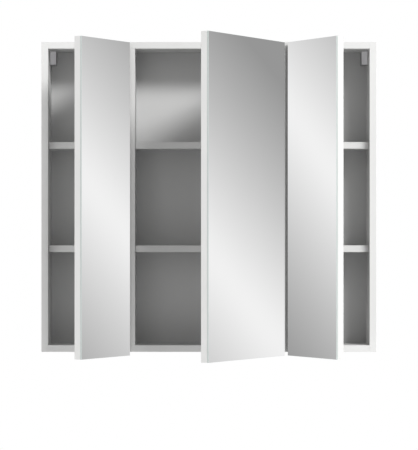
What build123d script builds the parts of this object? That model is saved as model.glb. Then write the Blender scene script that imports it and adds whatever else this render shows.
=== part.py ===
# Three-door bathroom mirror cabinet, hung on two wall plates.
# Millimetres. X is to the right, Y is towards the wall, Z is up.
# The origin is the centre of the four wall-screw holes, on the wall plane.
from build123d import *
from math import cos, radians, sin
import os

# Case
CASE_WIDTH = 750.0
CASE_HEIGHT = 694.0
CASE_DEPTH = 130.0
BOARD = 15.0
ARRIS = 0.5
TOP_ABOVE_SCREWS = 62.0
BACK_THICKNESS = 3.0
BACK_INSET = 12.0
GROOVE_DEPTH = 5.0
GROOVE_CLEARANCE = 0.1
BACK_END_CLEARANCE = 0.5
DIVIDER_CENTRE = 173.0

# Hidden pins, dowels and screw shanks have eight sides, to keep the model light
SHANK_SIDES = 8

# Shelves and their pins
SHELF_THICKNESS = 15.0
SHELF_SPREAD_SHARE = 0.35
SHELF_SETBACK = 20.0
SHELF_END_CLEARANCE = 0.75
SHELF_BACK_CLEARANCE = 0.5
PIN_RADIUS = 2.5
PIN_IN_PANEL = 6.5
PIN_PROUD = 7.0
PIN_CLEARANCE = 0.1
PIN_FRONT_INSET = 22.0
PIN_REAR_INSET = 20.0
PIN_SLOT_CLEARANCE = 0.3

# Dowels and cam joints
DOWEL_RADIUS = 4.0
DOWEL_LENGTH = 28.0
DOWEL_IN_SIDE = 10.0
DOWEL_CLEARANCE = 0.1
DOWEL_INSET = 22.0
DOWEL_REAR = 28.0
CAM_RADIUS = 7.5
CAM_DEPTH = 11.0
CAM_CLEARANCE = 0.1
CAM_FROM_JOINT = 24.0
CAM_INSET = 44.0
CAM_REAR = 50.0
CAM_BOLT_RADIUS = 3.0
CAM_BOLT_HEAD_RADIUS = 4.0
CAM_BOLT_HEAD = 2.5
CAM_BOLT_IN_SIDE = 9.0
CAM_NOTCH_WIDTH = 8.4
CAM_SLOT_WIDTH = 1.6
CAM_SLOT_DEPTH = 1.5
CASE_SCREW_RADIUS = 2.5
CASE_SCREW_LENGTH = 50.0
CASE_SCREW_HEAD_RADIUS = 4.8
CASE_SCREW_HEAD = 3.0

# Wall hangers
HANGER_WIDTH = 13.0
HANGER_HEIGHT = 30.0
HANGER_LENGTH = 40.0
HANGER_WALL = 1.5
HANGER_ARRIS = 0.8
HANGER_TOP_CLEARANCE = 0.4
HANGER_BODY_THICKNESS = 2.0
HANGER_BODY_CLEARANCE = 0.4
TONGUE_THICKNESS = 3.0
TONGUE_WIDTH = 7.0
TONGUE_INSIDE = 12.0
TONGUE_LIP = 9.0
TONGUE_LIP_THICKNESS = 2.5
TONGUE_LIP_CLEARANCE = 0.3
SLOT_CLEARANCE = 1.0
HANGER_SCREW_RADIUS = 1.75
HANGER_SCREW_LENGTH = 11.0
HANGER_SCREW_HEAD_RADIUS = 3.4
HANGER_SCREW_HEAD = 2.0
HANGER_SCREW_INSETS = (9.0, 23.0)

# Wall plates
PLATE_WIDTH = 60.0
PLATE_THICKNESS = 2.0
PLATE_STEP = 5.0
PLATE_UPPER_LEG = 13.0
PLATE_BEYOND_HOLES = 11.0
PLATE_SIDE_CLEARANCE = 1.0
PLATE_CORNER = 4.0
WALL_HOLE_RADIUS = 2.75
WALL_HOLE_SPREAD = 22.0

# Doors
DOOR_TOP_INSET = 1.5
DOOR_BELOW_CASE = 7.5
DOOR_BOARD = 15.0
DOOR_GAP = 4.0
DOOR_MARGIN = 2.0
DOOR_ARRIS = 0.6
CLOSING_GAP = 1.5
MIRROR_THICKNESS = 3.0
MIRROR_ARRIS = 0.3
TAPE_THICKNESS = 0.5
TAPE_INSET = 3.0
REST_ANGLE = 60.0

# Hinge heights, from the door's ends to the cup's centre
OUTER_HINGE_INSET = 90.0
RIGHT_HINGE_INSET = 150.0

# Cup
CUP_RADIUS = 17.5
CUP_EDGE = 4.0
CUP_DEPTH = 11.5
CUP_WALL = 1.0
CUP_BORE_CLEARANCE = 0.1
CUP_NOTCH = 8.5
CUP_NOTCH_HALF = 8.5
FLANGE_THICKNESS = 1.0
FLANGE_LIP = 1.5
FLANGE_SCREW_SPREAD = 48.0
FLANGE_SCREW_OFFSET = 6.0
FLANGE_EAR_RADIUS = 5.5
CUP_SCREW_RADIUS = 1.75
CUP_SCREW_LENGTH = 11.0
CUP_SCREW_HEAD_RADIUS = 3.2
CUP_SCREW_HEAD = 0.8
SCREW_CLEARANCE = 0.05

# Linkage with the door closed: across from the panel's face, and in from the case's front edge
OUTER_FIXED_PIVOT = (25.0, 17.0)
INNER_FIXED_PIVOT = (25.5, -7.0)
# Cup pivots: along the door from its hinge edge, and depth below its inner face
OUTER_CUP_PIVOT = (9.6, 3.6)
INNER_CUP_PIVOT = (15.4, 6.4)
# Turn of each link for one degree of door opening, against the door's own turn
OUTER_LINK_RATE = 0.35
INNER_LINK_RATE = 0.52
OUTER_LINK_SAGITTA = 11.0
INNER_LINK_SAGITTA = -1.5
LINK_WIDTH = 4.0
RIVET_RADIUS = 1.25
RIVET_CLEARANCE = 0.05
EYE_WALL = 1.1
# The inner link rides on its fixed pin in a larger hole, set a little off the pin
OPEN_PIVOT_RADIUS = 2.35
OPEN_PIVOT_WALL = 0.8
OPEN_PIVOT_PIN = 1.0
OPEN_PIVOT_SHIFT = (-0.27, 1.21)
# Layers of the hinge, up and down from its middle plane
INNER_LINK_HALF = 4.0
SHEET = 1.5
LAYER_GAP = 0.25

# Hinge arm, in the same measures as the linkage
NOSE_HALF = 2.6
ARM_FOOT = 3.5
ARM_CREST = 13.0
ARM_BEND = 36.0
ARM_HEEL = 33.0
ARM_REAR = 66.0
WEB_START = 3.2
ARM_SCREWS = (43.0, 58.0)
ARM_SCREW_RADIUS = 2.4
ARM_SCREW_LENGTH = 8.0
ARM_SCREW_HEAD_RADIUS = 3.8
ARM_SCREW_HEAD = 2.0

# Mounting plate of a hinge
MOUNT_BASE = 2.0
MOUNT_SETBACK = 37.0
MOUNT_SCREW_SPREAD = 32.0
MOUNT_WING_RADIUS = 7.0
MOUNT_HALF = 9.0
MOUNT_FRONT = 30.0
MOUNT_REAR = 70.0
MOUNT_CORNER = 2.0
MOUNT_BLOCK_FRONT = 33.5
MOUNT_BLOCK_REAR = 64.0
MOUNT_SCREW_RADIUS = 2.9
MOUNT_SCREW_LENGTH = 11.0
MOUNT_SCREW_HEAD_RADIUS = 4.4
MOUNT_SCREW_HEAD = 1.5

# Door bumpers
BUMPER_RADIUS = 4.0
BUMPER_HEIGHT = 1.2
BUMPER_INSET = 30.0
BUMPER_FROM_EDGE = 5.5

# Places worked out from the sizes above
HALF = CASE_WIDTH / 2
INNER = HALF - BOARD
TOP = TOP_ABOVE_SCREWS
BOTTOM = TOP - CASE_HEIGHT
INNER_TOP = TOP - BOARD
INNER_BOTTOM = BOTTOM + BOARD
FRONT = -CASE_DEPTH
BACK_FRONT = -(BACK_INSET + BACK_THICKNESS)
OVERLAP = (BOARD - DOOR_GAP) / 2
DIVIDER_NEAR = DIVIDER_CENTRE - BOARD / 2
DIVIDER_FAR = DIVIDER_CENTRE + BOARD / 2
DOOR_TOP = TOP - DOOR_TOP_INSET
DOOR_BOTTOM = BOTTOM - DOOR_BELOW_CASE
CENTRE_DOOR_WIDTH = 2 * DIVIDER_CENTRE - DOOR_GAP
SIDE_DOOR_WIDTH = HALF - DOOR_MARGIN - DIVIDER_CENTRE - DOOR_GAP / 2
DOOR_FACE = -CLOSING_GAP
TAPE_BACK = DOOR_FACE - DOOR_BOARD
MIRROR_BACK = TAPE_BACK - TAPE_THICKNESS
MIRROR_FRONT = MIRROR_BACK - MIRROR_THICKNESS
DOWEL_YS = (FRONT + DOWEL_INSET, -DOWEL_REAR)
CAM_YS = (FRONT + CAM_INSET, -CAM_REAR)
CAM_X = INNER - CAM_FROM_JOINT
JOINT_LEVELS = (TOP - BOARD / 2, BOTTOM + BOARD / 2)
SHELF_CENTRE = (TOP + BOTTOM) / 2
SHELF_SPREAD = (INNER_TOP - INNER_BOTTOM) * SHELF_SPREAD_SHARE
SHELF_FRONT = FRONT + SHELF_SETBACK
SHELF_REAR = BACK_FRONT - SHELF_BACK_CLEARANCE
PIN_YS = (SHELF_FRONT + PIN_FRONT_INSET, SHELF_REAR - PIN_REAR_INSET)
PIN_SLOT_HEIGHT = 2 * PIN_RADIUS
PIN_DROP = SHELF_THICKNESS / 2 - PIN_SLOT_HEIGHT + PIN_RADIUS
CUP_CENTRE = CUP_EDGE + CUP_RADIUS
CUP_SCREW_ALONG = CUP_CENTRE + FLANGE_SCREW_OFFSET
ARM_LAYER = INNER_LINK_HALF + LAYER_GAP
OUTER_LAYER = ARM_LAYER + SHEET + LAYER_GAP
EAR_LAYER = OUTER_LAYER + SHEET + LAYER_GAP
HOOK_LEVEL = WALL_HOLE_SPREAD / 2 + PLATE_BEYOND_HOLES + PLATE_STEP + PLATE_UPPER_LEG
HANGER_TOP = INNER_TOP - HANGER_TOP_CLEARANCE
HANGER_BOTTOM = HANGER_TOP - HANGER_HEIGHT
HANGER_FRONT = BACK_FRONT - HANGER_LENGTH
HOOK_FACE = INNER - HANGER_BODY_THICKNESS
TONGUE_LEFT = HOOK_FACE - TONGUE_WIDTH
PLATE_CENTRE = INNER - PLATE_SIDE_CLEARANCE - PLATE_WIDTH / 2
SHELF_LEVELS = {
    "upper": SHELF_CENTRE + SHELF_SPREAD / 2,
    "lower": SHELF_CENTRE - SHELF_SPREAD / 2,
}
COMPARTMENTS = {
    "left": (-INNER, -DIVIDER_FAR),
    "centre": (-DIVIDER_NEAR, DIVIDER_NEAR),
    "right": (DIVIDER_FAR, INNER),
}
# Each door: the panel face that it hangs on, the way from there across its opening, and its size
DOORS = {
    "left": {"face": -DIVIDER_FAR, "way": -1, "width": SIDE_DOOR_WIDTH, "inset": OUTER_HINGE_INSET},
    "centre": {"face": DIVIDER_NEAR, "way": -1, "width": CENTRE_DOOR_WIDTH, "inset": OUTER_HINGE_INSET},
    "right": {"face": DIVIDER_FAR, "way": 1, "width": SIDE_DOOR_WIDTH, "inset": RIGHT_HINGE_INSET},
}


# General shapes
def block(x0, x1, y0, y1, z0, z1):
    """A box between two opposite corners."""
    centre = ((x0 + x1) / 2, (y0 + y1) / 2, (z0 + z1) / 2)
    return Pos(*centre) * Box(abs(x1 - x0), abs(y1 - y0), abs(z1 - z0))


def rod(radius, start, direction, length):
    """A round bar that starts at a point and runs along a direction."""
    bar = Cylinder(radius, length, align=(Align.CENTER, Align.CENTER, Align.MIN))
    return Plane(origin=start, z_dir=direction) * bar


def shank(radius, start, direction, length):
    """A hidden bar with flat sides; the radius is that of its flats."""
    outline = RegularPolygon(radius, SHANK_SIDES, major_radius=False, rotation=180 / SHANK_SIDES)
    return Plane(origin=start, z_dir=direction) * extrude(outline, length)


def headed_screw(start, direction, radius, length, head_radius, head, clearance=0.0):
    """A screw whose head sits on a face at the start; with a clearance it is the hole for its shank."""
    body = shank(radius + clearance, start, direction, length + clearance)
    if clearance:
        return body
    backwards = tuple(-part for part in direction)
    return body + rod(head_radius, start, backwards, head)


def slab(outline, low, high):
    """A flat outline in the XY plane made solid between two heights."""
    return extrude(Pos(0, 0, low) * outline, high - low)


def both_sides(outline, low, thickness):
    """Two equal sheets, one above the middle plane and one below it."""
    return [slab(outline, low, low + thickness), slab(outline, -low - thickness, -low)]


def mirrored(shapes):
    """The same shapes on the other side of the cabinet's middle."""
    return [mirror(shape, about=Plane.YZ) for shape in shapes]


def group(shapes):
    """Separate solids kept together as one node."""
    solids = []
    for shape in shapes:
        solids.extend(shape.solids())
    return Compound(solids)


def save(name, shape):
    os.makedirs("parts", exist_ok=True)
    export_step(shape, f"parts/{name}.step")


# Fixings of the case
def pin_holes(face, way):
    """Blind holes for the shelf pins in one panel face."""
    radius = PIN_RADIUS + PIN_CLEARANCE / 2
    return [shank(radius, place, (way, 0, 0), PIN_IN_PANEL + PIN_CLEARANCE) for place in pin_places(face)]


def pin_places(face):
    """Where the shelf pins enter one panel face."""
    return [(face, y, level - PIN_DROP) for level in SHELF_LEVELS.values() for y in PIN_YS]


def shelf_pins(face, way):
    """Pins that go into a panel and carry the shelves on their upper flats."""
    return [
        shank(PIN_RADIUS, (x - way * PIN_PROUD, y, z), (way, 0, 0), PIN_PROUD + PIN_IN_PANEL)
        for x, y, z in pin_places(face)
    ]


def side_dowels(clearance=0.0):
    """Dowels across the right-hand joints; with a clearance they are their holes."""
    start = INNER + DOWEL_IN_SIDE + clearance
    length = DOWEL_LENGTH + 2 * clearance
    return [
        shank(DOWEL_RADIUS + clearance / 2, (start, y, level), (-1, 0, 0), length)
        for y in DOWEL_YS
        for level in JOINT_LEVELS
    ]


def divider_dowels(x, clearance=0.0):
    """Dowels at the ends of one divider; with a clearance they are their holes."""
    radius = DOWEL_RADIUS + clearance / 2
    length = DOWEL_LENGTH + 2 * clearance
    reach = DOWEL_IN_SIDE + clearance
    dowels = []
    for y in DOWEL_YS:
        dowels.append(shank(radius, (x, y, INNER_TOP + reach), (0, 0, -1), length))
        dowels.append(shank(radius, (x, y, INNER_BOTTOM - reach), (0, 0, 1), length))
    return dowels


def divider_screws(x, clearance=0.0):
    """Countersunk screws through the top and bottom panels into one divider, or their holes."""
    radius = CASE_SCREW_RADIUS + clearance
    head = CASE_SCREW_HEAD_RADIUS + clearance
    screws = []
    for y in CAM_YS:
        for end, up in ((TOP, 1), (BOTTOM, -1)):
            cone = Cone(radius, head, CASE_SCREW_HEAD, align=(Align.CENTER, Align.CENTER, Align.MAX))
            body = shank(radius, (x, y, end), (0, 0, -up), CASE_SCREW_LENGTH + clearance)
            screws.append(body + Plane(origin=(x, y, end), z_dir=(0, 0, up)) * cone)
    return screws


def cam_bolts(clearance=0.0):
    """Bolts of the right-hand cam joints; with a clearance they are their holes."""
    head_start = CAM_X - CAM_BOLT_HEAD / 2
    bolts = []
    for level in JOINT_LEVELS:
        for y in CAM_YS:
            start = (head_start, y, level)
            length = INNER - head_start + CAM_BOLT_IN_SIDE + clearance
            head = INNER - head_start if clearance else CAM_BOLT_HEAD
            bolt = shank(CAM_BOLT_RADIUS + clearance, start, (1, 0, 0), length)
            bolts.append(bolt + shank(CAM_BOLT_HEAD_RADIUS + clearance, start, (1, 0, 0), head))
    return bolts


def cam_locks():
    """Cam housings let into the outer faces near the right-hand joints, notched for their bolts."""
    half = CAM_NOTCH_WIDTH / 2
    locks = []
    for outer, up in ((TOP, 1), (BOTTOM, -1)):
        level = outer - up * BOARD / 2
        for y in CAM_YS:
            cam = rod(CAM_RADIUS, (CAM_X, y, outer), (0, 0, -up), CAM_DEPTH)
            cam -= block(
                CAM_X - CAM_BOLT_HEAD, CAM_X + 2 * CAM_RADIUS, y - half, y + half,
                level + up * half, outer - up * 2 * CAM_DEPTH,
            )
            cam -= block(
                CAM_X - CAM_RADIUS, CAM_X + CAM_RADIUS, y - CAM_SLOT_WIDTH / 2, y + CAM_SLOT_WIDTH / 2,
                outer - up * CAM_SLOT_DEPTH, outer + up,
            )
            locks.append(cam)
    return locks


def cam_pockets(outer, up):
    """Holes for the cam housings in one end board's outer face, right-hand side."""
    radius = CAM_RADIUS + CAM_CLEARANCE / 2
    return [rod(radius, (CAM_X, y, outer), (0, 0, -up), CAM_DEPTH + CAM_CLEARANCE) for y in CAM_YS]


# Boards of the case
def back_groove():
    """The groove for the back panel, all round the inside of the case."""
    return block(
        -INNER - GROOVE_DEPTH, INNER + GROOVE_DEPTH,
        BACK_FRONT - GROOVE_CLEARANCE, -BACK_INSET + GROOVE_CLEARANCE,
        INNER_BOTTOM - GROOVE_DEPTH, INNER_TOP + GROOVE_DEPTH,
    )


def side_panel():
    """The right-hand side panel."""
    panel = block(INNER, HALF, FRONT, 0, BOTTOM, TOP)
    panel = fillet(panel.edges().filter_by(Axis.Z).group_by(Axis.Y)[0], ARRIS)
    return panel - [
        back_groove(),
        *pin_holes(INNER, 1),
        *side_dowels(DOWEL_CLEARANCE),
        *cam_bolts(SCREW_CLEARANCE),
        *hanger_screws(SCREW_CLEARANCE),
    ]


def end_board(outer, up):
    """The top or bottom panel, between the side panels."""
    panel = block(-INNER, INNER, FRONT, 0, outer - up * BOARD, outer)
    panel = fillet(panel.edges().filter_by(Axis.X).group_by(Axis.Y)[0], ARRIS)
    handed = [*side_dowels(DOWEL_CLEARANCE), *cam_bolts(SCREW_CLEARANCE), *cam_pockets(outer, up)]
    cuts = [back_groove(), *handed, *mirrored(handed)]
    for x in (-DIVIDER_CENTRE, DIVIDER_CENTRE):
        cuts += divider_dowels(x, DOWEL_CLEARANCE) + divider_screws(x, SCREW_CLEARANCE)
    return panel - cuts


def divider(x):
    """A divider from the top panel to the bottom panel, in front of the back panel."""
    near, far = x - BOARD / 2, x + BOARD / 2
    panel = block(near, far, FRONT, BACK_FRONT, INNER_BOTTOM, INNER_TOP)
    panel = fillet(panel.edges().filter_by(Axis.Z).group_by(Axis.Y)[0], ARRIS)
    cuts = pin_holes(near, 1) + pin_holes(far, -1)
    cuts += divider_dowels(x, DOWEL_CLEARANCE) + divider_screws(x, SCREW_CLEARANCE)
    for name, door in DOORS.items():
        if door["face"] in (near, far):
            cuts += at_hinges(name, mount_screws(SCREW_CLEARANCE))
    return panel - cuts


def back_panel():
    """The thin back panel, with a slot for each hook."""
    reach = GROOVE_DEPTH - BACK_END_CLEARANCE
    half = INNER + reach
    panel = block(-half, half, BACK_FRONT, -BACK_INSET, INNER_BOTTOM - reach, INNER_TOP + reach)
    slot = block(
        TONGUE_LEFT - SLOT_CLEARANCE, HOOK_FACE + SLOT_CLEARANCE, 2 * BACK_FRONT, 0,
        HOOK_LEVEL - TONGUE_LIP - SLOT_CLEARANCE, HOOK_LEVEL + TONGUE_THICKNESS + SLOT_CLEARANCE,
    )
    return panel - [slot, *mirrored([slot])]


def shelf(compartment, level):
    """A shelf that drops on to its pins, which lie in slots in its underside."""
    near, far = COMPARTMENTS[compartment]
    left, right = near + SHELF_END_CLEARANCE, far - SHELF_END_CLEARANCE
    low = SHELF_LEVELS[level] - SHELF_THICKNESS / 2
    body = block(left, right, SHELF_FRONT, SHELF_REAR, low, low + SHELF_THICKNESS)
    body = fillet(body.edges().filter_by(Axis.X).group_by(Axis.Y)[0], ARRIS)
    half = PIN_RADIUS + PIN_SLOT_CLEARANCE
    length = PIN_PROUD - SHELF_END_CLEARANCE + PIN_SLOT_CLEARANCE
    top = low + PIN_SLOT_HEIGHT
    for y in PIN_YS:
        body -= block(left, left + length, y - half, y + half, low, top)
        body -= block(right - length, right, y - half, y + half, low, top)
    return body


# Wall hangers, right-hand side
def hanger_cover():
    """The plastic housing in the corner, open towards the side panel and the back panel."""
    left = INNER - HANGER_WIDTH
    cover = block(left, INNER, HANGER_FRONT, BACK_FRONT, HANGER_BOTTOM, HANGER_TOP)
    rim = cover.edges().group_by(Axis.Y)[0] + cover.edges().filter_by(Axis.Y).group_by(Axis.X)[0]
    cover = fillet(rim.filter_by(lambda edge: edge.center().X < INNER), HANGER_ARRIS)
    return cover - block(
        left + HANGER_WALL, INNER, HANGER_FRONT + HANGER_WALL, BACK_FRONT,
        HANGER_BOTTOM + HANGER_WALL, HANGER_TOP - HANGER_WALL,
    )


def hanger_screws(clearance=0.0):
    """Screws from the hook's plate into the side panel, or their holes."""
    level = (HANGER_TOP + HANGER_BOTTOM) / 2
    return [
        headed_screw(
            (HOOK_FACE, HANGER_FRONT + inset, level), (1, 0, 0), HANGER_SCREW_RADIUS,
            HANGER_SCREW_LENGTH, HANGER_SCREW_HEAD_RADIUS, HANGER_SCREW_HEAD, clearance,
        )
        for inset in HANGER_SCREW_INSETS
    ]


def hanger_hook():
    """The steel plate on the side panel, with a tongue that hooks over the wall plate."""
    gap = HANGER_WALL + HANGER_BODY_CLEARANCE
    hook = block(
        HOOK_FACE, INNER, HANGER_FRONT + gap, BACK_FRONT - HANGER_BODY_CLEARANCE,
        HANGER_BOTTOM + gap, HANGER_TOP - gap,
    )
    lip_front = -PLATE_STEP + TONGUE_LIP_CLEARANCE
    lip_back = lip_front + TONGUE_LIP_THICKNESS
    tongue_top = HOOK_LEVEL + TONGUE_THICKNESS
    hook += block(TONGUE_LEFT, HOOK_FACE, BACK_FRONT - TONGUE_INSIDE, lip_back, HOOK_LEVEL, tongue_top)
    hook += block(TONGUE_LEFT, HOOK_FACE, lip_front, lip_back, HOOK_LEVEL - TONGUE_LIP, HOOK_LEVEL)
    return hook - hanger_screws(SCREW_CLEARANCE)


def wall_plate():
    """A stepped plate: two screw holes on the wall, and a lip that stands off for the hook."""
    low = -WALL_HOLE_SPREAD / 2 - PLATE_BEYOND_HOLES
    step = WALL_HOLE_SPREAD / 2 + PLATE_BEYOND_HOLES
    front = -PLATE_STEP - PLATE_THICKNESS
    profile = Polygon(
        (0, low), (0, step), (-PLATE_STEP, step + PLATE_STEP), (-PLATE_STEP, HOOK_LEVEL),
        (front, HOOK_LEVEL), (front, step + PLATE_STEP), (-PLATE_THICKNESS, step), (-PLATE_THICKNESS, low),
        align=None,
    )
    plate = extrude(Plane.YZ.offset(PLATE_CENTRE - PLATE_WIDTH / 2) * profile, PLATE_WIDTH)
    plate = fillet(plate.edges().filter_by(Axis.Y), PLATE_CORNER)
    for z in (-WALL_HOLE_SPREAD / 2, WALL_HOLE_SPREAD / 2):
        plate -= rod(WALL_HOLE_RADIUS, (PLATE_CENTRE, 0, z), (0, -1, 0), PLATE_THICKNESS)
    return plate


# Hinge linkage, drawn for a door that is hinged on its left and mirrored for the others.
# X runs across the opening from the panel's face, and Y inwards from the case's front edge.
def turned(point, degrees):
    """A point turned about the origin, anticlockwise seen from above."""
    angle = radians(degrees)
    x, y = point
    return (x * cos(angle) - y * sin(angle), x * sin(angle) + y * cos(angle))


def in_closed_door(along, depth):
    """A point of the closed door, from its distance along the door and its depth in the inner face."""
    return (along - OVERLAP, DOOR_FACE - depth)


OUTER_CLOSED = in_closed_door(*OUTER_CUP_PIVOT)
INNER_CLOSED = in_closed_door(*INNER_CUP_PIVOT)


def outer_cup_pivot(angle):
    """Where the outer links have carried their cup pivot when the door stands open by an angle."""
    x, y = OUTER_FIXED_PIVOT
    link = turned((OUTER_CLOSED[0] - x, OUTER_CLOSED[1] - y), OUTER_LINK_RATE * angle)
    return (x + link[0], y + link[1])


def inner_cup_pivot(angle):
    """Where the open door has carried the inner link's cup pivot."""
    x, y = outer_cup_pivot(angle)
    step = turned((INNER_CLOSED[0] - OUTER_CLOSED[0], INNER_CLOSED[1] - OUTER_CLOSED[1]), -angle)
    return (x + step[0], y + step[1])


def opened(shape, angle=REST_ANGLE):
    """A shape of the closed door, moved to where the links hold the door at an angle."""
    x, y = outer_cup_pivot(angle)
    return Pos(x, y, 0) * Rotation(0, 0, -angle) * Pos(-OUTER_CLOSED[0], -OUTER_CLOSED[1], 0) * shape


def outer_links(angle=REST_ANGLE):
    """Two bowed sheets that carry the door, with an eye at each end."""
    end = outer_cup_pivot(angle)
    outline = SlotArc(SagittaArc(OUTER_FIXED_PIVOT, end, OUTER_LINK_SAGITTA), LINK_WIDTH)
    hole = RIVET_RADIUS + RIVET_CLEARANCE
    for eye in (OUTER_FIXED_PIVOT, end):
        outline += Pos(*eye) * Circle(hole + EYE_WALL)
    for eye in (OUTER_FIXED_PIVOT, end):
        outline -= Pos(*eye) * Circle(hole)
    return both_sides(outline, OUTER_LAYER, SHEET)


def inner_link(angle=REST_ANGLE):
    """The short cast link between the arm's nose and the cup, drawn closed and then turned."""
    hole = RIVET_RADIUS + RIVET_CLEARANCE
    ride = (INNER_FIXED_PIVOT[0] + OPEN_PIVOT_SHIFT[0], INNER_FIXED_PIVOT[1] + OPEN_PIVOT_SHIFT[1])
    outline = SlotArc(SagittaArc(INNER_CLOSED, ride, INNER_LINK_SAGITTA), LINK_WIDTH)
    outline += Pos(*INNER_CLOSED) * Circle(hole + EYE_WALL)
    outline += Pos(*ride) * Circle(OPEN_PIVOT_RADIUS + OPEN_PIVOT_WALL)
    outline -= Pos(*INNER_CLOSED) * Circle(hole)
    outline -= Pos(*ride) * Circle(OPEN_PIVOT_RADIUS)
    x, y = inner_cup_pivot(angle)
    turn = Rotation(0, 0, INNER_LINK_RATE * angle)
    link = slab(outline, -INNER_LINK_HALF, INNER_LINK_HALF)
    return Pos(x, y, 0) * turn * Pos(-INNER_CLOSED[0], -INNER_CLOSED[1], 0) * link


def hinge_arm():
    """The steel channel: two cheeks joined by a web, with both fixed pins riveted in its nose."""
    x, y = OUTER_FIXED_PIVOT
    outline = SlotCenterPoint(
        ((x + INNER_FIXED_PIVOT[0]) / 2, (y + INNER_FIXED_PIVOT[1]) / 2), INNER_FIXED_PIVOT, 2 * NOSE_HALF
    )
    outline += Polygon(
        (x + NOSE_HALF, y), (ARM_CREST, ARM_BEND), (ARM_CREST, ARM_REAR), (ARM_FOOT, ARM_REAR),
        (ARM_FOOT, ARM_HEEL), (x - NOSE_HALF, y), align=None,
    )
    slope = (x + NOSE_HALF - ARM_CREST) / (ARM_BEND - y)
    web_y = y + WEB_START
    web_x = x + NOSE_HALF - slope * WEB_START
    web = Polygon(
        (web_x, web_y), (ARM_CREST, ARM_BEND), (ARM_CREST, ARM_REAR), (ARM_CREST - SHEET, ARM_REAR),
        (ARM_CREST - SHEET, ARM_BEND - SHEET / 3), (web_x - SHEET, web_y), align=None,
    )
    top = ARM_LAYER + SHEET
    nose_pin = slab(Pos(*INNER_FIXED_PIVOT) * Circle(OPEN_PIVOT_PIN), -ARM_LAYER, ARM_LAYER)
    arm = slab(web, -top, top)
    pins = both_sides(Pos(*OUTER_FIXED_PIVOT) * Circle(RIVET_RADIUS), top, LAYER_GAP + SHEET)
    for piece in both_sides(outline, ARM_LAYER, SHEET) + pins + [nose_pin]:
        arm += piece
    return arm - arm_screws(SCREW_CLEARANCE)


def arm_screws(clearance=0.0):
    """The screws that hold the arm down on its mounting plate, or their holes."""
    return [
        headed_screw(
            (ARM_CREST, y, 0), (-1, 0, 0), ARM_SCREW_RADIUS, ARM_SCREW_LENGTH,
            ARM_SCREW_HEAD_RADIUS, ARM_SCREW_HEAD, clearance,
        )
        for y in ARM_SCREWS
    ]


def mount_screws(clearance=0.0):
    """The screws that hold the mounting plate to the panel, or their holes."""
    return [
        headed_screw(
            (MOUNT_BASE, MOUNT_SETBACK, z), (-1, 0, 0), MOUNT_SCREW_RADIUS,
            MOUNT_SCREW_LENGTH + MOUNT_BASE, MOUNT_SCREW_HEAD_RADIUS, MOUNT_SCREW_HEAD, clearance,
        )
        for z in (-MOUNT_SCREW_SPREAD / 2, MOUNT_SCREW_SPREAD / 2)
    ]


def mounting_plate():
    """A winged plate on the panel with a raised block that the arm straddles."""
    centre = (MOUNT_FRONT + MOUNT_REAR) / 2
    wings = SlotCenterToCenter(MOUNT_SCREW_SPREAD, 2 * MOUNT_WING_RADIUS)
    outline = Pos(centre, 0) * RectangleRounded(MOUNT_REAR - MOUNT_FRONT, 2 * MOUNT_HALF, MOUNT_CORNER)
    outline += Pos(MOUNT_SETBACK, 0) * Rotation(0, 0, 90) * wings
    plate = extrude(Plane.YZ * outline, MOUNT_BASE)
    plate += block(
        MOUNT_BASE, ARM_CREST - SHEET, MOUNT_BLOCK_FRONT, MOUNT_BLOCK_REAR, -INNER_LINK_HALF, INNER_LINK_HALF
    )
    return plate - [*mount_screws(SCREW_CLEARANCE), *arm_screws(SCREW_CLEARANCE)]


# Cup, drawn in the closed door
def round_in_door(radius, along, top, bottom, z=0.0):
    """A round solid sunk in the inner face of the closed door, between two depths."""
    x, y = in_closed_door(along, top)
    return rod(radius, (x, y, z), (0, -1, 0), bottom - top)


def cup_screws(clearance=0.0):
    """Screws through the cup's flange into the door board, or their holes."""
    x, y = in_closed_door(CUP_SCREW_ALONG, -FLANGE_THICKNESS)
    return [
        headed_screw(
            (x, y, z), (0, -1, 0), CUP_SCREW_RADIUS, CUP_SCREW_LENGTH,
            CUP_SCREW_HEAD_RADIUS, CUP_SCREW_HEAD, clearance,
        )
        for z in (-FLANGE_SCREW_SPREAD / 2, FLANGE_SCREW_SPREAD / 2)
    ]


def ear(pivot):
    """Outline of a cheek that stands on the cup's floor round a pivot."""
    x, y = in_closed_door(*pivot)
    floor = in_closed_door(0, CUP_DEPTH - CUP_WALL / 2)[1]
    half = RIVET_RADIUS + EYE_WALL
    return Pos(x, y) * Circle(half) + Pos(x, (y + floor) / 2) * Rectangle(2 * half, y - floor)


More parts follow.
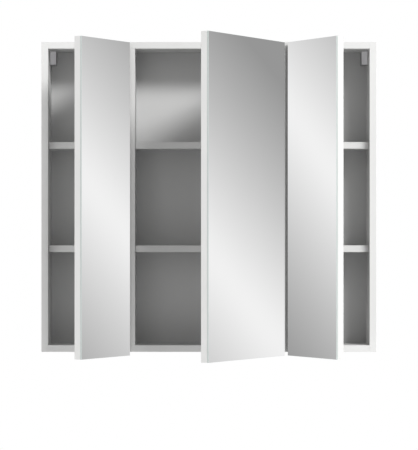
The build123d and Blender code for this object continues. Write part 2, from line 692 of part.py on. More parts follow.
def hinge_cup():
    """The pressed cup with its flange, and the ears inside it with the links' pins riveted in them."""
    outer = round_in_door(CUP_RADIUS, CUP_CENTRE, 0, CUP_DEPTH)
    ears = both_sides(ear(OUTER_CUP_PIVOT), EAR_LAYER, SHEET)
    ears += both_sides(ear(INNER_CUP_PIVOT), ARM_LAYER, SHEET)
    x, y = in_closed_door(CUP_CENTRE, 0)
    with BuildSketch(Plane(origin=(x, y, 0), z_dir=(0, 1, 0), x_dir=(-1, 0, 0))) as flange:
        Circle(CUP_RADIUS + FLANGE_LIP)
        with Locations(
            (-FLANGE_SCREW_OFFSET, FLANGE_SCREW_SPREAD / 2), (-FLANGE_SCREW_OFFSET, -FLANGE_SCREW_SPREAD / 2)
        ):
            Circle(FLANGE_EAR_RADIUS)
        make_hull()
    cup = outer + extrude(flange.sketch, FLANGE_THICKNESS)
    cup -= round_in_door(CUP_RADIUS - CUP_WALL, CUP_CENTRE, -FLANGE_THICKNESS, CUP_DEPTH - CUP_WALL)
    for sheet in ears:
        cup += sheet & outer
    for pin in both_sides(Pos(*OUTER_CLOSED) * Circle(RIVET_RADIUS), OUTER_LAYER, LAYER_GAP + SHEET):
        cup += pin
    cup += slab(Pos(*INNER_CLOSED) * Circle(RIVET_RADIUS), -ARM_LAYER, ARM_LAYER)
    notch_x, notch_y = in_closed_door(CUP_NOTCH, 0)
    cup -= block(
        notch_x - 2 * CUP_NOTCH, notch_x, notch_y, notch_y + CLOSING_GAP, -CUP_NOTCH_HALF, CUP_NOTCH_HALF
    )
    return cup - cup_screws(SCREW_CLEARANCE)


# Doors, drawn closed
def door_span(name, y0, y1, inset=0.0):
    """A board of a closed door between two depths, smaller all round by an inset."""
    left = -OVERLAP
    right = left + DOORS[name]["width"]
    return block(left + inset, right - inset, y0, y1, DOOR_BOTTOM + inset, DOOR_TOP - inset)


def door_board(name):
    """The door's board, with a blind bore and screw holes for each cup."""
    board = door_span(name, TAPE_BACK, DOOR_FACE)
    board = fillet(board.edges().filter_by(Axis.Z), DOOR_ARRIS)
    bore = round_in_door(CUP_RADIUS + CUP_BORE_CLEARANCE, CUP_CENTRE, 0, CUP_DEPTH + CUP_BORE_CLEARANCE)
    for level in hinge_levels(name):
        board -= [Pos(0, 0, level) * hole for hole in (bore, *cup_screws(SCREW_CLEARANCE))]
    return board


def door_mirror(name):
    """The mirror glass over the whole front of the door, with its front edges taken off."""
    glass = door_span(name, MIRROR_FRONT, MIRROR_BACK)
    return chamfer(glass.edges().group_by(Axis.Y)[0], MIRROR_ARRIS)


def door_bumpers(name):
    """Soft pads on the inner face where the door's free edge meets the case."""
    along = DOORS[name]["width"] - BUMPER_FROM_EDGE
    return [
        round_in_door(BUMPER_RADIUS, along, -BUMPER_HEIGHT, 0, z)
        for z in (DOOR_TOP - BUMPER_INSET, DOOR_BOTTOM + BUMPER_INSET)
    ]


# Placing
def hinge_levels(name):
    """Heights of the two hinges of a door."""
    inset = DOORS[name]["inset"]
    return (DOOR_TOP - inset, DOOR_BOTTOM + inset)


def at_door(name, shapes, level=0.0):
    """Shapes of the pattern put on a door's own panel face, mirrored where it opens the other way."""
    door = DOORS[name]
    if door["way"] < 0:
        shapes = mirrored(shapes)
    return [Pos(door["face"], FRONT, level) * shape for shape in shapes]


def at_hinges(name, shapes):
    """Shapes of the pattern at both hinges of a door."""
    return [placed for level in hinge_levels(name) for placed in at_door(name, shapes, level)]


def on_all_doors(shapes):
    """Shapes of the pattern at every hinge of the cabinet."""
    return [placed for name in DOORS for placed in at_hinges(name, shapes)]


# Case nodes
right_side = side_panel()
save("right_side_panel", right_side)
save("left_side_panel", mirror(right_side, about=Plane.YZ))
save("top_panel", end_board(TOP, 1))
save("bottom_panel", end_board(BOTTOM, -1))
save("left_divider", divider(-DIVIDER_CENTRE))
save("right_divider", divider(DIVIDER_CENTRE))
save("back_panel", back_panel())
for compartment in COMPARTMENTS:
    for level in SHELF_LEVELS:
        save(f"{compartment}_{level}_shelf", shelf(compartment, level))

pins = shelf_pins(INNER, 1) + shelf_pins(DIVIDER_NEAR, 1) + shelf_pins(DIVIDER_FAR, -1)
save("shelf_pins", group(pins + mirrored(pins)))
dowels = side_dowels() + divider_dowels(DIVIDER_CENTRE)
save("dowels", group(dowels + mirrored(dowels)))
save("cam_locks", group(cam_locks() + mirrored(cam_locks())))
save("cam_bolts", group(cam_bolts() + mirrored(cam_bolts())))
save("divider_screws", group(divider_screws(-DIVIDER_CENTRE) + divider_screws(DIVIDER_CENTRE)))

# Hanger nodes
hanger = {"hanger_cover": hanger_cover(), "hanger_hook": hanger_hook(), "wall_plate": wall_plate()}
for name, shape in hanger.items():
    save(f"right_{name}", shape)
    save(f"left_{name}", mirror(shape, about=Plane.YZ))
save("hanger_screws", group(hanger_screws() + mirrored(hanger_screws())))

# Hinge nodes on the case
save("hinge_plates", group(on_all_doors([mounting_plate()])))
save("hinge_plate_screws", group(on_all_doors(mount_screws())))
save("arm_screws", group(on_all_doors(arm_screws())))

# Nodes of each door at rest
arm = hinge_arm()
cup = hinge_cup()
for name in DOORS:
    save(f"{name}_hinge_arms", group(at_hinges(name, [arm])))
    save(f"{name}_outer_links", group(at_hinges(name, outer_links())))
    save(f"{name}_inner_links", group(at_hinges(name, [inner_link()])))
    save(f"{name}_hinge_cups", group(at_hinges(name, [opened(cup)])))
    save(f"{name}_cup_screws", group(at_hinges(name, [opened(screw) for screw in cup_screws()])))
    save(f"{name}_door_board", group(at_door(name, [opened(door_board(name))])))
    tape = door_span(name, MIRROR_BACK, TAPE_BACK, TAPE_INSET)
    save(f"{name}_mirror_tape", group(at_door(name, [opened(tape)])))
    save(f"{name}_mirror", group(at_door(name, [opened(door_mirror(name))])))
    save(f"{name}_door_bumpers", group(at_door(name, [opened(pad) for pad in door_bumpers(name)])))
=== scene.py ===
"""Looks of a three-door bathroom mirror cabinet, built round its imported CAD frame."""
import math

import bpy
import numpy as np
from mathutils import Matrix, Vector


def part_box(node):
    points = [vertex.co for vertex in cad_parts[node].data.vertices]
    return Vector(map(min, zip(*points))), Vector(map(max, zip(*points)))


bl_info = {
    "name": "Mirror Cabinet Looks",
    "version": (1, 0, 0),
    "blender": (4, 5, 0),
    "location": "3D View > Sidebar > Cabinet",
    "description": "Foil, glass, metal and plastic finishes for a mirror cabinet, and a studio round it",
    "category": "Object",
}

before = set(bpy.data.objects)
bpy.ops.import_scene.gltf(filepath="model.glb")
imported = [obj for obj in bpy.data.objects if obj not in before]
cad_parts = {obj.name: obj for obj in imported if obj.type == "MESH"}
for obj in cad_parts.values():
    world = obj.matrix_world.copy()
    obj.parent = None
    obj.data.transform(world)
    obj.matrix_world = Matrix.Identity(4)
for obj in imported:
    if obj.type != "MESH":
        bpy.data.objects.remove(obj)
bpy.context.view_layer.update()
DOORS = ("left", "centre", "right")
MIRROR_SILVER = 0.965


# Shader expressions
class Socket:
    """An output socket that takes part in Python arithmetic."""

    def __init__(self, graph, link):
        self.graph = graph
        self.link = link

    def __add__(self, other):
        return self.graph.maths("ADD", self, other)

    __radd__ = __add__

    def __mul__(self, other):
        return self.graph.maths("MULTIPLY", self, other)

    __rmul__ = __mul__

    def __sub__(self, other):
        return self.graph.maths("SUBTRACT", self, other)

    def __rsub__(self, other):
        return self.graph.maths("SUBTRACT", other, self)

    def __pow__(self, other):
        return self.graph.maths("POWER", self, other)

    def __abs__(self):
        return self.graph.maths("ABSOLUTE", self)

    def above(self, other):
        """1 where this is greater than the other, and 0 elsewhere."""
        return self.graph.maths("GREATER_THAN", self, other)

    def least(self, other):
        """The smaller of the two."""
        return self.graph.maths("MINIMUM", self, other)

    def most(self, other):
        """The larger of the two."""
        return self.graph.maths("MAXIMUM", self, other)

    def clamped(self):
        """Kept from 0 to 1."""
        return self.most(0.0).least(1.0)

    def between(self, low, high):
        """A straight ramp from 0 at low to 1 at high."""
        return ((self - low) * (1.0 / (high - low))).clamped()

    def spread(self, low, high):
        """A number that goes from low to high as this one goes from 0 to 1."""
        return low + self * (high - low)


class Graph:
    """The node tree of one material or of the world."""

    def __init__(self, owner):
        owner.use_nodes = True
        self.owner = owner
        self.tree = owner.node_tree
        self.tree.nodes.clear()

    def node(self, kind, settings=None, values=None, output=0):
        """Adds a node, makes its settings, fills its sockets and gives one of its outputs."""
        made = self.tree.nodes.new(kind)
        for name, value in (settings or {}).items():
            setattr(made, name, value)
        for name, value in (values or {}).items():
            if isinstance(value, Socket):
                self.tree.links.new(value.link, made.inputs[name])
            else:
                made.inputs[name].default_value = value
        return Socket(self, made.outputs[output])

    def outputs(self, kind, names, values=None):
        """Adds a node and gives several of its outputs."""
        made = self.node(kind, values=values).link.node
        return [Socket(self, made.outputs[name]) for name in names]

    def maths(self, operation, *values):
        """A Math node."""
        return self.node("ShaderNodeMath", {"operation": operation}, dict(enumerate(values)))

    def measure(self, operation, *vectors):
        """A number worked out from vectors, such as a dot product or a length."""
        return self.node("ShaderNodeVectorMath", {"operation": operation}, dict(enumerate(vectors)), "Value")

    def place(self):
        """Object coordinates in metres."""
        return self.node("ShaderNodeTexCoord", output="Object")

    def axes(self, vector):
        """The three numbers of a vector."""
        return self.outputs("ShaderNodeSeparateXYZ", (0, 1, 2), {0: vector})

    def scaled(self, vector, scale):
        """A vector stretched along each axis."""
        return self.node("ShaderNodeMapping", values={"Vector": vector, "Scale": scale})

    def noise(self, vector, scale=1.0, detail=3.0):
        """Fractal noise around 0.5, with the scale's number of cycles a metre."""
        return self.node(
            "ShaderNodeTexNoise", {"noise_dimensions": "3D"},
            {"Vector": vector, "Scale": scale, "Detail": detail},
        )

    def cells(self, vector, scale, feature):
        """The distance to the middle of each cell, with the scale's number of cells a metre."""
        return self.node("ShaderNodeTexVoronoi", {"feature": feature}, {"Vector": vector, "Scale": scale})

    def blend(self, factor, first, second):
        """The first colour, which gives way to the second as the factor goes from 0 to 1."""
        return self.node(
            "ShaderNodeMix", {"data_type": "RGBA"},
            {"Factor": factor, 6: rgba(first), 7: rgba(second)}, output=2,
        )

    def bump(self, height, depth, strength):
        """A normal from a height that spans the depth in metres."""
        values = {"Height": height, "Distance": depth, "Strength": strength}
        return self.node("ShaderNodeBump", values=values)

    def glow(self, colour, strength):
        """A shader that gives light of its own."""
        return self.node("ShaderNodeEmission", values={"Color": colour, "Strength": strength})

    def finish(self, shader, end="ShaderNodeOutputMaterial"):
        """Links a shader to the output, and gives the material or the world."""
        self.tree.links.new(shader.link, self.tree.nodes.new(end).inputs["Surface"])
        return self.owner

    def principled(self, values):
        """A material of one Principled shader."""
        return self.finish(self.node("ShaderNodeBsdfPrincipled", values=values))

    def mixed(self, factor, first, second):
        """A material whose first shader gives way to the second as the factor goes from 0 to 1."""
        return self.finish(self.node("ShaderNodeMixShader", values={0: factor, 1: first, 2: second}))


def rgba(colour):
    """A socket as it is, and three numbers with an alpha of 1."""
    return colour if isinstance(colour, Socket) else (*colour, 1.0)


def shade(colour, share):
    """A darker colour of the same hue."""
    return tuple(part * share for part in colour)


def new_material(name):
    """The graph of a new material."""
    return Graph(bpy.data.materials.new(name))


# Finishes
def board_finish(colour):
    """Satin melamine foil: a faint cloud in the white, and a fine pressed grain."""
    graph = new_material("white_foil")
    place = graph.place()
    cloud = graph.noise(place, scale=9.0)
    grain = graph.noise(place, scale=900.0, detail=2.0)
    return graph.principled({
        "Base Color": graph.blend(cloud.between(low=0.3, high=0.7), colour, shade(colour, share=0.965)),
        "Roughness": grain.spread(low=0.42, high=0.52),
        "Normal": graph.bump(grain, depth=0.00006, strength=0.6),
    })


def back_finish(colour):
    """Painted hardboard: the same white, a little flatter, with the brushed sheen of its lacquer."""
    graph = new_material("back_board_paint")
    place = graph.place()
    brushed = graph.noise(graph.scaled(place, (260.0, 260.0, 12.0)))
    cloud = graph.noise(place, scale=5.0)
    return graph.principled({
        "Base Color": graph.blend(cloud.between(low=0.3, high=0.7), colour, shade(colour, share=0.96)),
        "Roughness": brushed.spread(low=0.5, high=0.62),
        "Normal": graph.bump(brushed, depth=0.00005, strength=0.5),
    })


def mirror_finish(name, facing, tint, rim):
    """Silvered glass towards the front, a little duller where wiped, and pale ground glass on the rim."""
    graph = new_material(f"{name}_silvering")
    front = graph.measure("DOT_PRODUCT", graph.node("ShaderNodeTexCoord", output="Normal"), facing)
    face_cosine = 0.9
    silver = front.above(face_cosine)
    wipe = graph.noise(graph.scaled(graph.place(), (3.0, 3.0, 1.2)), detail=4.0)
    wiped = graph.blend(wipe.between(low=0.35, high=0.75), tint, shade(tint, share=0.985))
    rim_roughness = 0.25
    return graph.principled({
        "Base Color": graph.blend(silver, rim, wiped),
        "Metallic": silver,
        "Roughness": (1.0 - silver) * rim_roughness,
    })


def metal_finish(name, colour, roughness, streak):
    """Plated steel: cloudy plating and fine scratches that run up and down."""
    graph = new_material(name)
    place = graph.place()
    cloud = graph.noise(place, scale=60.0)
    scratch = graph.noise(graph.scaled(place, (2600.0, 2600.0, 160.0)), detail=2.0)
    middle, cloudiness = 0.5, 0.12
    return graph.principled({
        "Base Color": graph.blend(cloud.between(low=0.35, high=0.7), colour, shade(colour, share=0.8)),
        "Metallic": 1.0,
        "Roughness": roughness + (scratch - middle) * streak + (cloud - middle) * cloudiness,
        "Normal": graph.bump(scratch, depth=0.00002, strength=0.5),
    })


def cover_finish(colour):
    """Satin metallised plastic with a fine spark-eroded texture."""
    graph = new_material("cover_satin")
    place = graph.place()
    sparks = graph.cells(place, scale=1500.0, feature="SMOOTH_F1")
    cloud = graph.noise(place, scale=40.0)
    return graph.principled({
        "Base Color": graph.blend(cloud.between(low=0.3, high=0.7), colour, shade(colour, share=0.92)),
        "Metallic": 1.0,
        "Roughness": sparks.spread(low=0.3, high=0.42),
        "Normal": graph.bump(sparks, depth=0.00004, strength=0.5),
    })


def beech_finish(colour):
    """Turned beech: long grain along the dowel with short dark flecks."""
    graph = new_material("dowel_beech")
    place = graph.place()
    grain = graph.noise(graph.scaled(place, (90.0, 900.0, 900.0)), detail=5.0)
    fleck_level, fleck_share = 0.62, 0.3
    fleck = graph.noise(graph.scaled(place, (400.0, 2400.0, 2400.0))).above(fleck_level)
    figure = (grain * (1.0 - fleck_share) + fleck * fleck_share).clamped()
    return graph.principled({
        "Base Color": graph.blend(figure, colour, shade(colour, share=0.72)),
        "Roughness": grain.spread(low=0.6, high=0.75),
        "Normal": graph.bump(grain, depth=0.0001, strength=0.5),
    })


def foam_finish(colour):
    """Closed-cell foam tape."""
    graph = new_material("tape_foam")
    cells = graph.cells(graph.place(), scale=2500.0, feature="F1")
    return graph.principled({
        "Base Color": graph.blend(cells.clamped(), colour, shade(colour, share=0.8)),
        "Roughness": 0.85,
        "Normal": graph.bump(cells, depth=0.0001, strength=0.7),
    })


def pad_finish(colour):
    """Soft translucent pad, shown as a pale satin rubber."""
    graph = new_material("bumper_pad")
    cloud = graph.noise(graph.place(), scale=300.0)
    return graph.principled({
        "Base Color": graph.blend(cloud, colour, shade(colour, share=0.9)),
        "Roughness": cloud.spread(low=0.3, high=0.45),
    })


def wear(node, material):
    """Gives a CAD node's slots one finish."""
    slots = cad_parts[node].data.materials
    slots.clear()
    slots.append(material)


def nodes_of(*endings):
    """The CAD nodes whose names end in one of the words."""
    return [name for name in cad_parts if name.endswith(endings)]


# Sizes and colours
COLOUR = {"subtype": "COLOR", "size": 3, "min": 0.0, "max": 1.0}


class BoardFinish(bpy.types.PropertyGroup):
    """Colours of the boards."""

    white: bpy.props.FloatVectorProperty(
        name="Board white", description="Colour of the foil on the boards",
        default=(0.83, 0.83, 0.82), **COLOUR
    )
    back: bpy.props.FloatVectorProperty(
        name="Back white", description="Colour of the painted back panel",
        default=(0.8, 0.8, 0.795), **COLOUR
    )


class MirrorFinish(bpy.types.PropertyGroup):
    """Colours of the mirrors."""

    silver: bpy.props.FloatVectorProperty(
        name="Silver", description="Colour that the mirrors give to what they reflect",
        default=(MIRROR_SILVER, MIRROR_SILVER, MIRROR_SILVER), **COLOUR
    )
    rim: bpy.props.FloatVectorProperty(
        name="Glass rim", description="Colour of the ground edge of the glass",
        default=(0.6, 0.66, 0.64), **COLOUR
    )
    tape: bpy.props.FloatVectorProperty(
        name="Tape", description="Colour of the foam tape behind the mirrors",
        default=(0.8, 0.8, 0.78), **COLOUR
    )


class FittingFinish(bpy.types.PropertyGroup):
    """Colours of the metal, plastic and wooden fittings."""

    nickel: bpy.props.FloatVectorProperty(
        name="Nickel", description="Colour of the plated hinges",
        default=(0.66, 0.65, 0.63), **COLOUR
    )
    zinc: bpy.props.FloatVectorProperty(
        name="Zinc", description="Colour of the zinc-plated steel",
        default=(0.6, 0.61, 0.63), **COLOUR
    )
    casting: bpy.props.FloatVectorProperty(
        name="Casting", description="Colour of the die-cast cams",
        default=(0.5, 0.5, 0.51), **COLOUR
    )
    cover: bpy.props.FloatVectorProperty(
        name="Covers", description="Colour of the satin hanger covers",
        default=(0.52, 0.515, 0.525), **COLOUR
    )
    beech: bpy.props.FloatVectorProperty(
        name="Beech", description="Colour of the dowels",
        default=(0.6, 0.42, 0.24), **COLOUR
    )
    pad: bpy.props.FloatVectorProperty(
        name="Pads", description="Colour of the door bumpers",
        default=(0.7, 0.71, 0.71), **COLOUR
    )


class StudioSettings(bpy.types.PropertyGroup):
    """Light, floor and camera."""

    key: bpy.props.FloatProperty(
        name="Key light", description="Power of the far soft box on the right", default=890.0, min=0.0
    )
    key_azimuth: bpy.props.FloatProperty(
        name="Key azimuth", description="How far the soft box stands to the right",
        default=math.radians(33.5), subtype="ANGLE"
    )
    key_elevation: bpy.props.FloatProperty(
        name="Key elevation", description="How high the soft box stands",
        default=math.radians(32.5), subtype="ANGLE"
    )
    ambient: bpy.props.FloatProperty(
        name="Room light", description="Brightness of the room all round", default=1.0, min=0.0
    )
    floor_level: bpy.props.FloatProperty(
        name="Floor", description="Level of the floor, from the wall screws up", default=-1.15, unit="LENGTH"
    )
    lens: bpy.props.FloatProperty(
        name="Lens", description="Focal length in mm for a 36 mm frame height", default=184.43, min=10.0
    )
    camera: bpy.props.FloatVectorProperty(
        name="Camera", description="Where the camera stands",
        default=(-0.01, -5.2917, -0.3671), unit="LENGTH"
    )
    shift: bpy.props.FloatVectorProperty(
        name="Shift", description="How far the frame is shifted across and up",
        default=(0.01027, 0.01911), size=2
    )


GROUPS = {
    "cabinet_boards": BoardFinish,
    "cabinet_mirrors": MirrorFinish,
    "cabinet_fittings": FittingFinish,
    "cabinet_studio": StudioSettings,
}


# Pieces
class CABINET_OT_boards(bpy.types.Operator):
    """Foil on the case, shelves and door boards, and paint on the back panel."""

    bl_idname = "cabinet.boards"
    bl_label = "Boards"

    def execute(self, context):
        settings = context.scene.cabinet_boards
        white = board_finish(tuple(settings.white))
        for name in nodes_of("side_panel", "top_panel", "bottom_panel", "divider", "shelf", "door_board"):
            wear(name, white)
        wear("back_panel", back_finish(tuple(settings.back)))
        return {"FINISHED"}


class CABINET_OT_mirrors(bpy.types.Operator):
    """Silvered glass and the tape behind it."""

    bl_idname = "cabinet.mirrors"
    bl_label = "Mirrors"

    def execute(self, context):
        settings = context.scene.cabinet_mirrors
        tape = foam_finish(tuple(settings.tape))
        for door in DOORS:
            glass = f"{door}_mirror"
            facing = widest_normal(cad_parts[glass])
            wear(glass, mirror_finish(glass, facing, tuple(settings.silver), tuple(settings.rim)))
            wear(f"{door}_mirror_tape", tape)
        return {"FINISHED"}


def widest_normal(piece):
    """The direction of the largest face among those that look towards the room."""
    mesh = piece.data
    areas = np.empty(len(mesh.polygons))
    normals = np.empty(3 * len(mesh.polygons))
    mesh.polygons.foreach_get("area", areas)
    mesh.polygons.foreach_get("normal", normals)
    normals = normals.reshape(-1, 3)
    towards_room = normals[:, 1] < 0
    return tuple(normals[np.argmax(areas * towards_room)])


class CABINET_OT_fittings(bpy.types.Operator):
    """Plating, plastic and wood on the hinges, hangers and joints."""

    bl_idname = "cabinet.fittings"
    bl_label = "Fittings"

    def execute(self, context):
        settings = context.scene.cabinet_fittings
        nickel = metal_finish("hinge_nickel", tuple(settings.nickel), roughness=0.24, streak=0.12)
        zinc = metal_finish("zinc_plate", tuple(settings.zinc), roughness=0.36, streak=0.16)
        casting = metal_finish("cam_casting", tuple(settings.casting), roughness=0.5, streak=0.1)
        cover = cover_finish(tuple(settings.cover))
        pad = pad_finish(tuple(settings.pad))
        beech = beech_finish(tuple(settings.beech))
        for name in nodes_of("hinge_arms", "links", "hinge_cups", "cup_screws", "hinge_plates",
                             "hinge_plate_screws", "arm_screws"):
            wear(name, nickel)
        for name in nodes_of("hook", "wall_plate", "shelf_pins", "cam_bolts", "divider_screws",
                             "hanger_screws"):
            wear(name, zinc)
        for name in nodes_of("hanger_cover"):
            wear(name, cover)
        for name in nodes_of("bumpers"):
            wear(name, pad)
        wear("cam_locks", casting)
        wear("dowels", beech)
        return {"FINISHED"}


# Studio: lengths in metres, and greys as they are displayed
DISPLAY_GAMMA = 2.2

# The soft box, which looks at a point this far below the wall screws
KEY_DISTANCE = 12.0
KEY_BOX = (4.8, 2.3)
CASE_MIDDLE_DROP = 0.29

# The room: the light from each of its sides, and the bands that reflections see, with angles in radians.
# A whole number of bands goes round the room, so that no seam shows.
ROOM_SIDES = 1.2
ROOM_FRONT = 0.34
ROOM_BACK = 0.7
ROOM_TOP = 0.55
ROOM_BOTTOM = 1.0
BAND_SLANT = 0.8
BANDS_ROUND = 16
BAND_WIDTH = math.pi * BAND_SLANT / BANDS_ROUND
BAND_DARKEST = 0.62

# The floor, whole as far as FLOOR_PLAIN from the upright line through the origin, and clear from FLOOR_END
FLOOR_PLAIN = 0.8
FLOOR_END = 2.3
FLOOR_HALF = 2.5

# The cards, which stand where mirrors that are 60 degrees open send a level view
CARD_BEARING = math.radians(30.0)
CARD_DISTANCE = 14.0
CARD_HALF_WIDTH = 2.2
CARD_HALF_HEIGHT = 3.2
CARD_MARGIN = 0.8
CARD_PEAK = 0.943
CARD_FADE = 0.1817
CARD_SOFTNESS = 0.208
CARD_DARKEST = 0.585
RIGHT_MIDDLE = (-0.325, -0.587)
RIGHT_SLOPE = -1.22
LEFT_MIDDLE = (-0.745, 0.41)
LEFT_SLOPE = 1.32

# The sheet of painted shade in the back panel: how far behind its face it lies, and its brightness
SHADE_DEPTH = 0.0002
SHADE_GLOW = 0.11

# The camera: the longer side of its frame, which is the height, and how far it sees
FRAME_HEIGHT_MM = 36.0
VIEW_REACH = 50.0


def rectangle(middle, across, up):
    """The corners of a rectangle: its middle plus or minus each of the two half sides, given as vectors."""
    signs = np.array(((-1, -1), (1, -1), (1, 1), (-1, 1)))
    return (np.array(middle) + signs @ np.array((across, up))).tolist()


def stage_sheet(name, corners, material, seen):
    """A flat stage sheet from four corners, seen only by the kinds of ray that are named."""
    mesh = bpy.data.meshes.new(name)
    mesh.from_pydata(corners, [], [(0, 1, 2, 3)])
    mesh.materials.append(material)
    sheet = bpy.data.objects.new(name, mesh)
    bpy.context.scene.collection.objects.link(sheet)
    for kind in ("camera", "diffuse", "glossy", "transmission", "volume_scatter", "shadow"):
        setattr(sheet, f"visible_{kind}", kind in seen)


class CABINET_OT_studio(bpy.types.Operator):
    """Floor, soft light, reflected cards and the camera."""

    bl_idname = "cabinet.studio"
    bl_label = "Studio"

    def execute(self, context):
        settings = context.scene.cabinet_studio
        scene = context.scene
        scene.view_settings.view_transform = "Standard"
        scene.cycles.diffuse_bounces = 1
        scene.cycles.glossy_bounces = 3
        scene.cycles.caustics_reflective = False
        room_light(scene, settings.ambient)
        key_light(scene, settings)
        pale_floor(settings.floor_level)
        reflected_card("right_card", 1, RIGHT_MIDDLE, RIGHT_SLOPE)
        reflected_card("left_card", -1, LEFT_MIDDLE, LEFT_SLOPE)
        back_shade()
        level_camera(scene, settings)
        # Mirrors stay plain, because no piece shows in reflections
        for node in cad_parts.values():
            node.visible_glossy = False
        return {"FINISHED"}


def room_light(scene, ambient):
    """A room that looks white, is brightest at the sides as light, and is banded in reflections.

    As light, each side gives its level times the square of the cosine of the angle to it. Reflections see
    slanting bands, whose grey is a triangle wave of the height plus a share of the bearing.
    """
    world = bpy.data.worlds.new("studio_room")
    scene.world = world
    graph = Graph(world)
    camera, glossy, through = graph.outputs(
        "ShaderNodeLightPath", ("Is Camera Ray", "Is Glossy Ray", "Is Transmission Ray")
    )
    direct = camera.most(through)
    right, back, up = graph.axes(graph.node("ShaderNodeTexCoord", output="Generated"))
    slanting = graph.maths("ARCSINE", up) + graph.maths("ARCTAN2", right, back) * BAND_SLANT
    fold = graph.maths("PINGPONG", slanting, BAND_WIDTH)
    banded = (BAND_DARKEST + (CARD_PEAK - BAND_DARKEST) * fold * (1.0 / BAND_WIDTH)) ** DISPLAY_GAMMA
    room = 0.0
    for reach, level in ((right, ROOM_SIDES), (right * -1.0, ROOM_SIDES), (back * -1.0, ROOM_FRONT),
                         (back, ROOM_BACK), (up, ROOM_TOP), (up * -1.0, ROOM_BOTTOM)):
        room = room + level * reach.most(0.0) ** 2.0
    strength = direct + (1.0 - direct) * (glossy * banded + (1.0 - glossy) * ambient * room)
    light = graph.node("ShaderNodeBackground", values={"Color": (1.0, 1.0, 1.0, 1.0), "Strength": strength})
    graph.finish(light, "ShaderNodeOutputWorld")


def key_light(scene, settings):
    """A wide soft box far off on the right, in front and above, whose light is nearly parallel."""
    lamp = bpy.data.lights.new("key_box", "AREA")
    lamp.shape = "RECTANGLE"
    lamp.size, lamp.size_y = KEY_BOX
    lamp.energy = settings.key
    azimuth, elevation = settings.key_azimuth, settings.key_elevation
    box = bpy.data.objects.new("key_box", lamp)
    box.location = (
        KEY_DISTANCE * math.sin(azimuth) * math.cos(elevation),
        -KEY_DISTANCE * math.cos(azimuth) * math.cos(elevation),
        KEY_DISTANCE * math.sin(elevation) - CASE_MIDDLE_DROP,
    )
    box.rotation_euler = (math.pi / 2 - elevation, 0.0, azimuth)
    scene.collection.objects.link(box)


def back_shade():
    """A dim sheet in the back panel, just behind its face.

    Blurred reflections see it in place of the pieces, and sharp ones pass through it. Its dim glow is
    painted shade: it stands in for the shaded inside of the cabinet in those reflections.
    """
    low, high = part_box("back_panel")
    graph = new_material("shade")
    sharp = graph.node("ShaderNodeLightPath", output="Is Singular Ray")
    # Painted shade: a dim grey glow that blurred reflections show in place of the shaded inside of the
    # cabinet
    dim = graph.glow((SHADE_GLOW, SHADE_GLOW, SHADE_GLOW, 1.0), 1.0)
    material = graph.mixed(sharp, dim, graph.node("ShaderNodeBsdfTransparent"))
    middle = ((low[0] + high[0]) / 2, low[1] + SHADE_DEPTH, (low[2] + high[2]) / 2)
    across = ((high[0] - low[0]) / 2, 0.0, 0.0)
    up = (0.0, 0.0, (high[2] - low[2]) / 2)
    stage_sheet("back_shade", rectangle(middle, across, up), material, ("glossy",))


def pale_floor(level):
    """A pale floor that keeps the object's shadow, thins out to the white room, and is clear from below."""
    graph = new_material("pale_floor")
    place = graph.place()
    cloud = graph.noise(place, scale=3.0)
    colour = graph.blend(cloud, (0.82, 0.82, 0.82), (0.8, 0.8, 0.8))
    floor = graph.node("ShaderNodeBsdfPrincipled", values={"Base Color": colour, "Roughness": 0.9})
    reach = graph.measure("LENGTH", graph.scaled(place, (1.0, 1.0, 0.0)))
    below = graph.node("ShaderNodeNewGeometry", output="Backfacing")
    hidden = reach.between(FLOOR_PLAIN, FLOOR_END).most(below)
    material = graph.mixed(hidden, floor, graph.node("ShaderNodeBsdfTransparent"))
    corners = rectangle((0.0, 0.0, level), (FLOOR_HALF, 0.0, 0.0), (0.0, FLOOR_HALF, 0.0))
    stage_sheet("studio_floor", corners, material, ("camera", "diffuse", "shadow"))


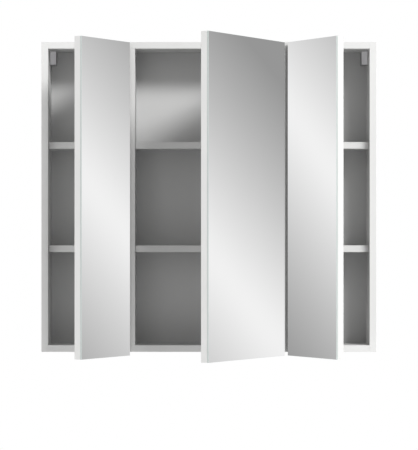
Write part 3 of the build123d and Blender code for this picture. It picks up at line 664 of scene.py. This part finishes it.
def reflected_card(name, side, middle, slope):
    """A far grey card that the mirrors see: brightest along a slanting crease, darker above and below it.

    It stands to the right where side is 1, and to the left where side is -1. Its middle, which the crease
    runs through, is a place across and up. Its grey is the peak less the fade times sqrt(d * d + w * w) - w,
    where d is the height over the crease and w its softness. The card ends in a margin that thins out to
    clear.
    """
    outward = (side * math.cos(CARD_BEARING), math.sin(CARD_BEARING))
    across = (-side * math.sin(CARD_BEARING), math.cos(CARD_BEARING))
    graph = new_material(name)
    place = graph.place()
    width = graph.measure("DOT_PRODUCT", place, (*across, 0.0)) - middle[0]
    height = graph.axes(place)[2] - middle[1]
    offset = height - width * slope
    grey = CARD_PEAK - CARD_FADE * ((offset * offset + CARD_SOFTNESS ** 2) ** 0.5 - CARD_SOFTNESS)
    glow = graph.glow(grey.most(CARD_DARKEST) ** DISPLAY_GAMMA, 1.0 / MIRROR_SILVER)
    inside = 1.0
    for axis, half in ((width, CARD_HALF_WIDTH), (height, CARD_HALF_HEIGHT)):
        inside = inside * abs(axis).between(half, half - CARD_MARGIN)
    material = graph.mixed(inside, graph.node("ShaderNodeBsdfTransparent"), glow)
    stand = [CARD_DISTANCE * outward[axis] + middle[0] * across[axis] for axis in range(2)]
    half_width = [CARD_HALF_WIDTH * part for part in across]
    corners = rectangle((*stand, middle[1]), (*half_width, 0.0), (0.0, 0.0, CARD_HALF_HEIGHT))
    stage_sheet(name, corners, material, ("glossy",))


def level_camera(scene, settings):
    """A level camera, in front of the cabinet's middle."""
    data = bpy.data.cameras.new("photograph_camera")
    data.sensor_fit = "AUTO"
    data.sensor_width = FRAME_HEIGHT_MM
    data.lens = settings.lens
    data.shift_x, data.shift_y = settings.shift
    data.clip_end = VIEW_REACH
    camera = bpy.data.objects.new("photograph_camera", data)
    camera.location = settings.camera
    camera.rotation_euler = (math.pi / 2, 0.0, 0.0)
    scene.collection.objects.link(camera)
    scene.camera = camera


# Panel
class CABINET_PT_looks(bpy.types.Panel):
    """Sizes, colours and pieces of the cabinet's looks."""

    bl_label = "Mirror cabinet"
    bl_space_type = "VIEW_3D"
    bl_region_type = "UI"
    bl_category = "Cabinet"

    def draw(self, context):
        for operator in OPERATORS:
            self.layout.operator(operator.bl_idname)
        for attribute, group in GROUPS.items():
            box = self.layout.box()
            for name in group.__annotations__:
                box.prop(getattr(context.scene, attribute), name)


OPERATORS = (CABINET_OT_boards, CABINET_OT_mirrors, CABINET_OT_fittings, CABINET_OT_studio)
CLASSES = (*GROUPS.values(), *OPERATORS, CABINET_PT_looks)


def register():
    for cls in CLASSES:
        bpy.utils.register_class(cls)
    for attribute, group in GROUPS.items():
        setattr(bpy.types.Scene, attribute, bpy.props.PointerProperty(type=group))


def unregister():
    for attribute in GROUPS:
        delattr(bpy.types.Scene, attribute)
    for cls in reversed(CLASSES):
        bpy.utils.unregister_class(cls)


def main():
    register()
    bpy.ops.cabinet.boards()
    bpy.ops.cabinet.mirrors()
    bpy.ops.cabinet.fittings()
    bpy.ops.cabinet.studio()


if __name__ == "__main__":
    main()
